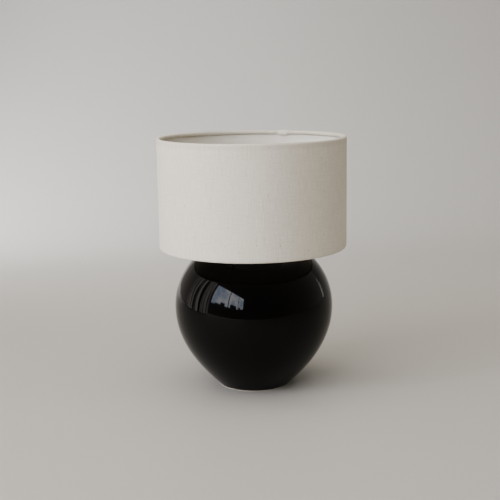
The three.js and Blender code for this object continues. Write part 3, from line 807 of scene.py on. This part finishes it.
def add_bulb():
    """A candle bulb: tip, glass insulator, threaded cap, housing, board and opal cover."""
    low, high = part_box("bulb_tip")
    tip = [
        (0, low.z), (0.0022, low.z),
        *arc(0.0030, low.z + 0.0014, 0.0014, -80, 0, 5),
        (high.x, high.z), (0, high.z),
    ]
    turned("centre_tip", tip, 64, "bulb_centre", "zinc_steel", ("bulb_tip",))

    low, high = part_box("bulb_insulator")
    glass = [
        (0, low.z), (0.0046, low.z),
        *curve((0.005, low.z + 0.0003), (0.0075, low.z + 0.0008), (0.0105, high.z - 0.0016),
               (high.x, high.z - 0.0002), 8),
        (high.x - 0.0002, high.z), (0, high.z),
    ]
    turned("cap_insulator", glass, 72, "bulb", "black_glass", ("bulb_insulator",))

    low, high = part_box("bulb_cap")
    middle, bore = high.x - 0.0004, 0.0117
    start, end = low.z + 0.001, high.z - 0.0012
    points = round((end - start) / LAMP_THREAD_PITCH * 14)
    cap = [
        (0, low.z), (middle - 0.001, low.z),
        *steps_between((middle, start), (middle, end), points),
        (middle + 0.0002, high.z), (bore, high.z), (bore, low.z + 0.001), (0, low.z + 0.001),
    ]
    shape = helix(LAMP_THREAD_PITCH, 0.0004, start, end, bore + 0.0005)
    turned("screw_cap", cap, 96, "bulb", "nickel", ("bulb_cap",), shape)

    low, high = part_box("bulb_housing")
    waist, top = 0.0134, high.x
    housing = [
        (0, low.z), (waist - 0.0004, low.z), (waist, low.z + 0.0004), (waist, low.z + 0.0016),
        *curve((waist, low.z + 0.002), (waist + 0.0002, low.z + 0.008), (top, high.z - 0.008),
               (top, high.z - 0.0012), 16),
        (top - 0.0003, high.z - 0.0009), (top - 0.0003, high.z), (0, high.z),
    ]
    turned("heat_sink_collar", housing, 96, "bulb", "white_plastic", ("bulb_housing",))
    carry_over("led_board", "white_lining", 0.0003)

    low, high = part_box("bulb_envelope")
    outer, inner, top = high.x, high.x - BULB_WALL, high.z
    shoulder = low.z + 0.014
    widest = shoulder + 0.020
    cover = [
        *curve((0, top - 0.0015), (0.0045, top - 0.009), (inner, widest), (inner, shoulder), 28),
        (inner, low.z), (outer - 0.0003, low.z), (outer, low.z + 0.0003),
        *curve((outer, shoulder), (outer, widest), (0.005, top - 0.008),
               (0.0009, top - 0.0004), 28),
        (0.0004, top - 0.0001), (0, top),
    ]
    turned("opal_cover", cover, 96, "bulb", "opal_plastic", ("bulb_envelope",), smooth_angle=60)


# ---------- shade ----------

CLOTH, LINER, STRIP = 0.0008, 0.0005, 0.0005  # thicknesses
WIRE_CENTRE = 0.1465
WIRE_RADIUS = 0.0016
HEM_CENTRE = 0.1469
HEM_RADIUS = 0.0031
HEM_DEPTH = 0.007
ARM_ANGLES = [math.radians(a) for a in (243, 3, 123)]
ARM_RADIUS = 0.0015
SEAM_ANGLE = math.radians(68.3)
SEAM_WIDTH = 0.0165
SEAM_LAP = 0.05  # of the lining, in radians
SHADE_SEGMENTS, WALL_STEPS = 360, 26
RING_GRIPS = 12


def drum(radius, height, angle):
    """The drum isn't perfectly round: every part of it shares the same slow error."""
    where = Vector((math.cos(angle), math.sin(angle), height * 4))
    out, up = noise.noise(where * 1.3), noise.noise(where * 2 + Vector((5, 5, 5)))
    return radius + 0.00022 * out, height + 0.00012 * up


def roll(edge, inward, radius, sweep, steps):
    """Points over a hem's wire, from the outside in. inward is +1 at the bottom, -1 at the top."""
    centre = edge + inward * HEM_RADIUS
    angles = [sweep * i / steps for i in range(steps + 1)]
    return [
        (HEM_CENTRE + radius * math.cos(a), centre - inward * radius * math.sin(a)) for a in angles
    ]


def hem_path(edge, inward):
    """The middle of the cloth where one edge folds over its wire."""
    over = roll(edge, inward, HEM_RADIUS - CLOTH / 2, math.pi, 12)
    inner, centre = over[-1][0], edge + inward * HEM_RADIUS
    low = edge + inward * (HEM_DEPTH - CLOTH)
    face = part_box("shade_liner")[1].x - LINER - 0.0001
    end = (face - CLOTH / 2, low + inward * CLOTH / 2)
    bent = inner + 0.0001
    tuck = curve((inner, centre), (bent, low - inward * 0.0012), (bent, low), end, 9)
    return over + tuck[1:]


def strip_path(edge, inward):
    """The middle of the seam strip at one edge: round the roll, then flat over the hem."""
    centre = edge + inward * HEM_RADIUS
    over = roll(edge, inward, HEM_RADIUS + STRIP / 2, math.radians(122), 10)
    face = HEM_CENTRE - HEM_RADIUS - STRIP / 2 - 0.0002
    end = edge + inward * (HEM_DEPTH + 0.0006)
    return [
        *over,
        *steps_between(over[-1], (face, centre + inward * 0.0008), 2)[1:],
        *steps_between((face, centre + inward * 0.0014), (face, end - inward * 0.0006), 4),
        (face + 0.0005, end),
    ]


def ribbon(path, thickness):
    """The closed section of a strip of that thickness whose middle follows the path."""
    left, right = [], []
    for i, point in enumerate(path):
        before, after = Vector(path[max(i - 1, 0)]), Vector(path[min(i + 1, len(path) - 1)])
        along = (after - before).normalized()
        across = Vector((along.y, -along.x)) * thickness / 2
        left.append(tuple(Vector(point) - across))
        right.append(tuple(Vector(point) + across))
    return right + list(reversed(left))


def drum_section(path_at, thickness):
    """The section of a cloth that follows one path over the bottom edge and one over the top."""
    low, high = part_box("shade_cover")
    bottom, top = path_at(low.z, 1), path_at(high.z, -1)
    wall = steps_between(bottom[0], top[0], WALL_STEPS)[1:-1]
    return ribbon([*reversed(bottom), *wall, *top], thickness)


def add_cover():
    """The linen drum, with both hems rolled over the wires, and the strip that covers its seam."""
    low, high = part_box("shade_cover")
    cover = turned("linen_cover", drum_section(hem_path, CLOTH), SHADE_SEGMENTS, "shade", "linen",
                   ("shade_cover",), drum, smooth_angle=60)
    for angle in ARM_ANGLES:
        drill(cover, *slit(angle, low.z + HEM_RADIUS))
    flap = add_seam()


def slit(angle, height):
    """A round-ended slit in the hem for an arm."""
    half, tall = ARM_RADIUS + 0.0005, HEM_DEPTH
    rim = [*arc(0, 0, half, 180, 360, 10), (half, tall), (-half, tall)]
    face = HEM_CENTRE - HEM_RADIUS
    vertices = [(depth, y, height + z) for depth in (face - 0.001, face + 0.0014) for y, z in rim]
    count = len(rim)
    faces = [tuple(reversed(range(count))), tuple(range(count, 2 * count))]
    faces += [(i, (i + 1) % count, (i + 1) % count + count, i + count) for i in range(count)]
    return moved(vertices, Matrix.Rotation(angle, 4, "Z")), faces


def add_seam():
    """A strip of bleached linen tape glued over the seam, round both rims and over the hems."""
    section = drum_section(strip_path, STRIP)
    count, steps = len(section), 12
    half = SEAM_WIDTH / 2 / HEM_CENTRE
    vertices = []
    for i in range(steps + 1):
        share = i / steps * 2 - 1
        for r, h in section:
            stray = 0.0010 * noise.noise(Vector((0, share * 3, h * 60)))
            angle = SEAM_ANGLE + share * half + stray
            radius, height = drum(r, h, angle)
            vertices.append((radius * math.cos(angle), radius * math.sin(angle), height))
    faces = bands(count, count, steps, steps + 1)
    last = steps * count
    for a in range(count // 2 - 1):
        b = count - 1 - a
        faces.append((a, a + 1, b - 1, b))
        faces.append((last + a, last + b, last + b - 1, last + a + 1))
    strip = make_piece("seam_strip", vertices, faces, "shade", "linen", (), 50)
    strip.data.materials[0] = MATERIALS["tape"]
    return strip


def add_liner():
    """The lining sheet, its two ends lapped at the seam."""
    low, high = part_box("shade_liner")
    outer, inner = high.x, high.x - LINER

    def shape(radius, height, angle):
        radius, height = drum(radius, height, angle)
        from_seam = (angle - SEAM_ANGLE + math.pi) % (2 * math.pi) - math.pi
        if radius < outer - LINER / 2 and 0 <= from_seam < SEAM_LAP:
            radius -= 0.00030
        return radius, height

    section = [
        (inner, low.z),
        *steps_between((outer, low.z), (outer, high.z), 10),
        *steps_between((inner, high.z), (inner, low.z), 10)[:-1],
    ]
    turned("lining_sheet", section, SHADE_SEGMENTS, "shade", "white_lining", ("shade_liner",),
           shape)


def add_wires():
    for name, node in (("lower_wire", "lower_ring"), ("upper_wire", "upper_ring")):
        section = arc(WIRE_CENTRE, middle_height(node), WIRE_RADIUS, 0, 330, 11)
        turned(name, section, 180, "shade", "white_steel", (node,), drum, smooth_angle=80)


def through(points, tension, steps):
    """A smooth path through the points, as the CAD draws its arms."""
    points = [Vector(p) for p in points]
    spare = [points[0] * 2 - points[1], *points, points[-1] * 2 - points[-2]]
    path = []
    for i in range(len(points) - 1):
        before, a, b, after = spare[i : i + 4]
        start, end = (b - before) * tension, (after - a) * tension
        for k in range(steps):
            t = k / steps
            path.append(
                a * (2 * t**3 - 3 * t * t + 1) + start * (t**3 - 2 * t * t + t)
                + b * (3 * t * t - 2 * t**3) + end * (t**3 - t * t)
            )
    return [*path, points[-1]]


def add_arms():
    """Three rods from the lower wire up to the fitter ring, thickened by the weld at each end."""
    start = WIRE_CENTRE - WIRE_RADIUS - 0.0003
    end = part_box("fitter_ring")[1].x + 0.0003
    bottom, top = middle_height("lower_ring"), middle_height("fitter_ring")
    route = [
        (start, 0, bottom), (start - 0.005, 0, bottom + 0.0007), (end + 0.006, 0, top - 0.0007),
        (end, 0, top),
    ]

    def weld(share):
        lower = 0.22 * math.exp(-((share / 0.03) ** 2))
        return 1 + lower + 0.16 * math.exp(-(((1 - share) / 0.02) ** 2))

    for i, angle in enumerate(ARM_ANGLES):
        turn = Matrix.Rotation(angle, 4, "Z")
        points = [turn @ p for p in through(route, 0.3, 16)]
        make_piece(f"spider_rod_{i + 1}", *tube_mesh(points, ARM_RADIUS, weld), "shade",
                   "white_steel", (f"spider_arm_{i + 1}",), 50)
    ring = washer_outline("fitter_ring", 0.0208, 0.0006)
    turned("fitter_plate", ring, 96, "shade_seat", "white_steel", ("fitter_ring",))


def add_shade_ring():
    """The threaded plastic ring: finger grips, softened edges and a thread in its bore."""
    low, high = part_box("shade_ring")
    rim, bore = high.x, 0.0198
    outline = [
        (bore + 0.0004, low.z), (rim - 0.0006, low.z),
        *arc(rim - 0.0006, low.z + 0.0006, 0.0006, -60, 0, 3),
        *arc(rim - 0.0009, high.z - 0.0009, 0.0009, 0, 90, 5),
        (bore + 0.0014, high.z), (bore + 0.0004, high.z - 0.0006),
        *steps_between((bore, high.z - 0.0010), (bore, low.z + 0.0006), 24),
    ]

    def shape(radius, height, angle):
        if radius > rim - 0.0016:
            wave = 0.5 - 0.5 * math.cos(RING_GRIPS * angle)
            return radius - 0.0011 * wave**3, height
        if radius <= bore:
            turn = 2 * math.pi * height / SKIRT_THREAD_PITCH - angle
            return radius - 0.00018 * math.cos(turn), height
        return radius, height

    turned("shade_clamp_ring", outline, 192, "clamp_ring", "black_plastic", ("shade_ring",), shape)


# ---------- surroundings ----------

FLOOR_TONES = rgb(0.570, 0.550, 0.520), rgb(0.585, 0.567, 0.540)
WALL_TONE = rgb(0.600, 0.598, 0.592)
FLOOR_FRONT, FLOOR_LEFT, FLOOR_RIGHT = -1.35, -2.8, 3.2
BEND_START, BEND_RADIUS, WALL_TOP = 1.15, 1.1, 3.2
# each painted shade on the paper, darker toward the front, the far left and the right: axis, from,
# to, its share at both, and its colour
PAINTED_FLOOR_SHADES = (
    ("y", -0.75, -0.15, 0.16, 0.0, rgb(0.0, 0.0, 0.0)),
    ("x", -2.2, -1.2, 0.65, 0.0, rgb(0.10, 0.10, 0.10)),
    ("x", 0.1, 0.9, 0.0, 0.14, rgb(0.30, 0.27, 0.24)),
)
GLOSS_HEIGHT = 0.17  # of the window's reflection on the pot
# panel corners as seen from there: azimuth, elevation, distance
WINDOW_CORNERS = (-64.5, 6.1, 2.2), (-15.4, 8.2, 4.3), (-14.9, 25.5, 4.7), (-63.9, 37.3, 2.7)
CURTAIN_CORNERS = (-112, -5, 2.0), (-67, -4.7, 2.1), (-67, 38, 2.6), (-112, 38, 2.6)
DIM_CORNERS = (-151, -2, 1.9), (-112, -4, 2.4), (-112, 50, 2.4), (-151, 50, 1.9)
OPENING_CORNERS = (118, -2, 2.4), (124, -2, 2.4), (124, 16, 2.4), (118, 16, 2.4)
WINDOW_PANES = (0.0, 0.375), (0.395, 0.71), (0.725, 1.0)
WINDOW_STRENGTH, CURTAIN_STRENGTH, OPENING_STRENGTH, DIM_STRENGTH = 5.6, 1.9, 1.7, 1.0
KEY_POWER, WASH_POWER = 99, 4
KEY_TINT, WASH_TINT = (1.0, 0.985, 0.965), (1.0, 0.99, 0.98)
CLOUD_TONES = rgb(0.52, 0.60, 0.76), rgb(0.98, 0.98, 1.0)
SKYLINE_LOW, SKYLINE_RISE, SKYLINE_TONE = 0.55, 0.45, 0.07
CURTAIN_TONES = rgb(0.05, 0.045, 0.04), rgb(1.0, 0.95, 0.9)
FILL_BELOW, FILL_ABOVE = 0.30, 0.88
FILL_LEFT, FILL_RIGHT = 1.45, 0.55
FILL_TINT = (1.0, 0.95, 0.86)
ROOM_FRONT, ROOM_SIDES = rgb(0.20, 0.175, 0.155), rgb(0.46, 0.43, 0.40)
BACKDROP = rgb(0.48, 0.47, 0.455)


def seamless():
    """Pale studio paper: a warm floor that turns to a cooler wall along a soft line, with painted
    shade toward the front, the far left and the right.
    """
    n = surface("seamless_paper", IOR=1.4)
    x, y, height = n.split(n.place)
    back = n.span(n.plus(y, n.times(height, 3.0)), 0.25, 1.35)
    grain = n.noise(900, 3)
    color = n.mix(back, n.mix(n.noise(0.9, 2), *FLOOR_TONES), WALL_TONE)
    color = n.tint(color, grain, 0.05, rgb(0.5, 0.5, 0.5))
    # painted shade: the paper darkened toward the front, the far left and the right
    for axis, start, end, at_start, at_end, tone in PAINTED_FLOOR_SHADES:
        share = n.span(x if axis == "x" else y, start, end, at_start, at_end)
        color = n.mix(share, color, tone)
    return n.finish(color, n.uneven(400, 3, 0.52, 0.62), n.bump(grain, 0.05, 0.0001))


def add_floor():
    """A floor that sweeps up into a wall behind."""
    profile = [(y, 0.0) for y in (FLOOR_FRONT, -0.6, 0.0, 0.6)]
    bend = arc(BEND_START, BEND_RADIUS, BEND_RADIUS, -90, 0, 24)
    profile += [*bend, (BEND_START + BEND_RADIUS, WALL_TOP)]
    vertices = [(side, y, z) for y, z in profile for side in (FLOOR_LEFT, FLOOR_RIGHT)]
    faces = [(2 * i, 2 * i + 1, 2 * i + 3, 2 * i + 2) for i in range(len(profile) - 1)]
    mesh = bpy.data.meshes.new("seamless")
    mesh.from_pydata(vertices, [], faces)
    mesh.shade_smooth()
    mesh.materials.append(seamless())
    floor = placed("seamless", mesh)


def toward(azimuth, elevation, distance):
    """A point as seen from the pot's gloss, with its azimuth from the front, to the right."""
    a, e = math.radians(azimuth), math.radians(elevation)
    flat = distance * math.cos(e)
    return Vector((flat * math.sin(a), -flat * math.cos(a), GLOSS_HEIGHT + distance * math.sin(e)))


def glow(name, corners, color, strength):
    """A glowing panel, seen in reflections but not by the camera. color may draw a pattern."""
    n = Graph(bpy.data.materials.new(name), "ShaderNodeEmission")
    n.fill(n.shader, Color=color(n) if callable(color) else color, Strength=strength)
    mesh = bpy.data.meshes.new(name)
    mesh.from_pydata([tuple(c) for c in corners], [], [tuple(range(len(corners)))])
    mesh.materials.append(n.owner)
    panel = placed(name, mesh)
    panel.visible_camera = False
    return panel


def sky(n):
    """Clouds over a dark skyline of blocks of uneven height."""
    x, _, height = n.split(n.place)
    clouds = n.mix(n.span(n.noise(1.5, 3), 0.34, 0.66), *CLOUD_TONES)
    block = n.split(n.cells(7, n.vector(x, 0.0, 0.0), "Color"))[0]
    above = n.plus(height, n.plus(n.times(block, -SKYLINE_RISE), -SKYLINE_LOW))
    return n.scaled(clouds, n.span(above, 0.0, 0.08, SKYLINE_TONE, 1.0))


def stripes(n):
    """Folds of a hanging curtain."""
    folds = n.noise(1.0, 3, where=n.stretched(5, 26, 0.3))
    return n.mix(n.span(folds, 0.42, 0.60), *CURTAIN_TONES)


def add_window():
    """A large soft window at the front left: three panes of cloudy sky between dark bars."""
    corners = [toward(*c) for c in WINDOW_CORNERS]

    def at(u, v):
        low = corners[0].lerp(corners[1], u)
        high = corners[3].lerp(corners[2], u)
        return low.lerp(high, v)

    for i, (start, end) in enumerate(WINDOW_PANES):
        pane = [at(start, 0), at(end, 0), at(end, 1), at(start, 1)]
        glow(f"window_{i + 1}", pane, sky, WINDOW_STRENGTH)


def add_curtains():
    """Dim curtains left of the window, a dim corner beyond them, and an opening at the back."""
    glow("curtains", [toward(*c) for c in CURTAIN_CORNERS], stripes, CURTAIN_STRENGTH)
    # the dim corner is a painted reflection: seen only in reflections, it dims what the pot mirrors
    # there and gives no light or shadow
    dim_corner = glow("dim_corner", [toward(*c) for c in DIM_CORNERS], ROOM_SIDES, DIM_STRENGTH)
    dim_corner.visible_diffuse = dim_corner.visible_shadow = False
    glow("far_opening", [toward(*c) for c in OPENING_CORNERS], stripes, OPENING_STRENGTH)


def soft_box(name, place, target, size, power, color, spread):
    """A soft box that gives light but isn't seen, even in reflections."""
    light = bpy.data.lights.new(name, "AREA")
    light.shape, light.size, light.size_y = "RECTANGLE", *size
    light.energy, light.color, light.spread = power, color, math.radians(spread)
    box = placed(name, light)
    box.location = place
    box.rotation_euler = (Vector(target) - place).to_track_quat("-Z", "Y").to_euler()
    box.visible_glossy = box.visible_camera = False


def add_soft_boxes():
    """The window's light from further left, and a wash over the floor's left half."""
    soft_box("soft_key", toward(-81, 17, 3.0), (0.2, -0.30, 0.15), (2.2, 1.5), KEY_POWER,
             KEY_TINT, 100)
    soft_box("floor_wash", Vector((-2.2, 0.9, 1.1)), (-0.6, 0.95, 0.0), (1.0, 0.6), WASH_POWER,
             WASH_TINT, 60)


def add_world():
    """A pale surround for the camera, a soft fill for surfaces, a dim room for reflections."""
    world = bpy.data.worlds.new("room")
    n = Graph(world, "ShaderNodeBackground", "ShaderNodeOutputWorld", "Generated")
    x, y, height = n.split(n.place)
    ray = n.add("ShaderNodeLightPath").outputs
    below, above = (rgb(*(level * t for t in FILL_TINT)) for level in (FILL_BELOW, FILL_ABOVE))
    soft = n.scaled(n.mix(height, below, above), n.span(x, -1, 1, FILL_LEFT, FILL_RIGHT))
    room = n.mix(n.span(y, -0.9, 0.35), ROOM_FRONT, ROOM_SIDES)
    unseen = n.mix(ray["Is Glossy Ray"], soft, room)
    n.fill(n.shader, Color=n.mix(ray["Is Camera Ray"], unseen, BACKDROP))
    bpy.context.scene.world = world


add_camera()
add_base()
add_lampholder()
add_switch()
add_bulb()
add_cover()
add_liner()
add_wires()
add_arms()
add_shade_ring()
add_floor()
add_window()
add_soft_boxes()
add_curtains()
add_world()
settings = bpy.context.scene.view_settings
settings.view_transform = "AgX"
settings.look = "AgX - High Contrast"
